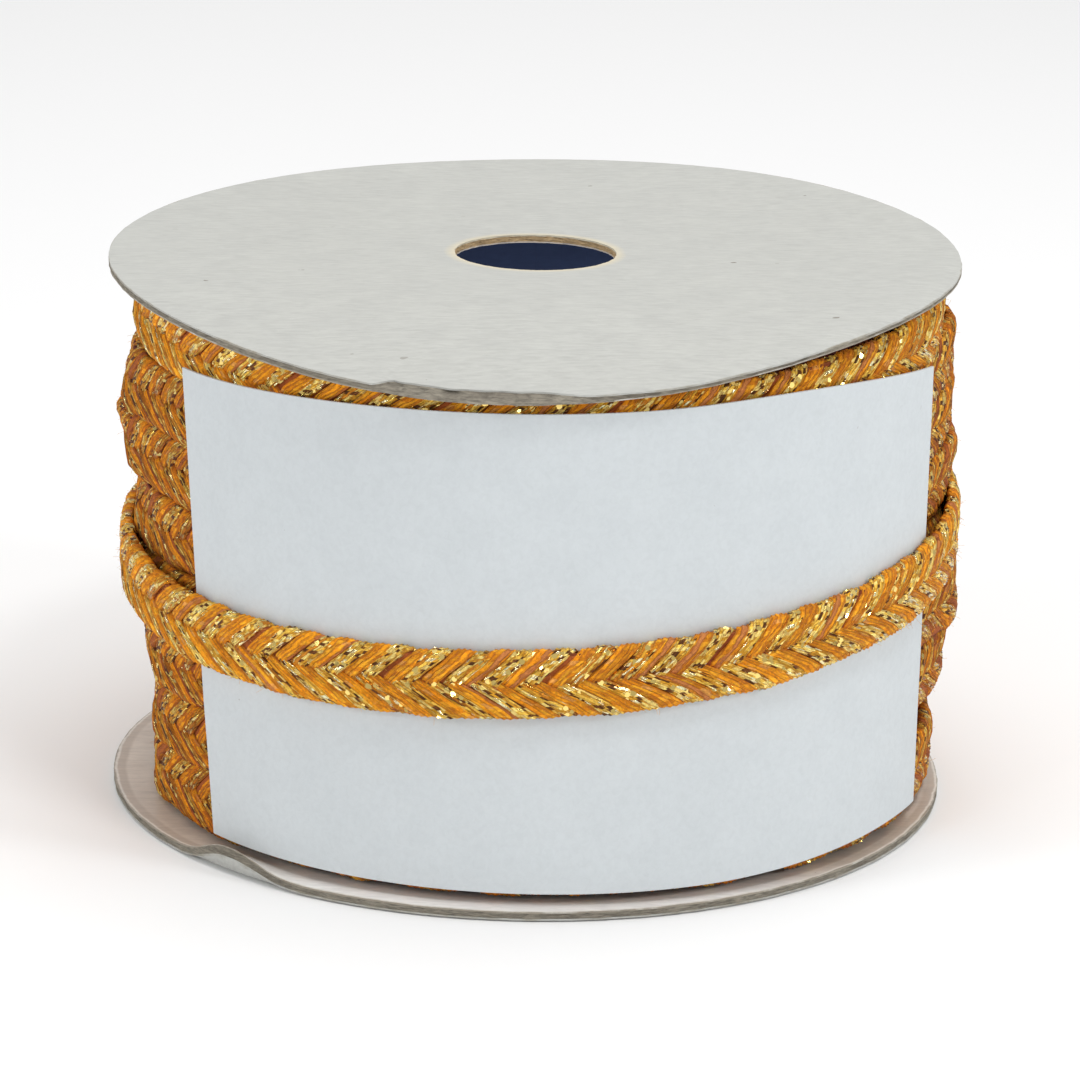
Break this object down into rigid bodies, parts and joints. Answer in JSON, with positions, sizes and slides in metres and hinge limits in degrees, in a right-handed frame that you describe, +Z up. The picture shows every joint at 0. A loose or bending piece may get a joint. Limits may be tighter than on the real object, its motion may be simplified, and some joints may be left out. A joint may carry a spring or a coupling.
{
  "type": "ribbon spool",
  "caption": "Spool of flat braided trim: two round lined-chipboard flanges on a paper tube, wound with braid, and a blank card label held under the last turn.",
  "frame": {"origin": "centre of the bottom flange's lower face, on the surface the spool stands on", "axes": "+Z up the spool's axis, -Y out of the middle of the label's side, +X to the right as the label is seen"},
  "size_m": [0.1033, 0.1024, 0.0674],
  "materials": {
    "face_paper": "matte greyish white paper with short fibres and small dark flecks",
    "chipboard": "raw grey-brown layered chipboard",
    "inner_paper": "smooth beige-grey paper, slightly burnished",
    "kraft_tube": "matte brown kraft board",
    "navy_lining": "matte dark navy paper",
    "glue": "set amber glue",
    "braid": "matte orange yarn plaited with glittering gold yarn",
    "label_card": "matte cool white card"
  },
  "bodies": {
    "spool": {"bottom_flange_outer_liner": "face_paper", "bottom_flange_board": "chipboard", "bottom_flange_inner_liner": "inner_paper", "top_flange_inner_liner": "inner_paper", "top_flange_board": "chipboard", "top_flange_outer_liner": "face_paper", "core_tube_outer_ply": "kraft_tube", "core_tube_inner_ply": "navy_lining", "bottom_glue_ring": "glue", "top_glue_ring": "glue", "braid_inner_layers": "braid", "braid_turn_1": "braid", "braid_turn_2": "braid", "braid_turn_3": "braid", "braid_turn_4": "braid", "braid_turn_5": "braid", "braid_turn_6": "braid", "braid_turn_7": "braid", "braid_turn_8": "braid", "braid_band": "braid", "braid_tail": "braid"},
    "label": {"label_card": "label_card"}
  },
  "joints": [
    {"name": "label_slip", "type": "hinge", "parent": "spool", "child": "label", "pos_m": [0.0011, 0, 0.03], "axis": [0, 0, 1], "range_deg": [-8, 8]}
  ]
}
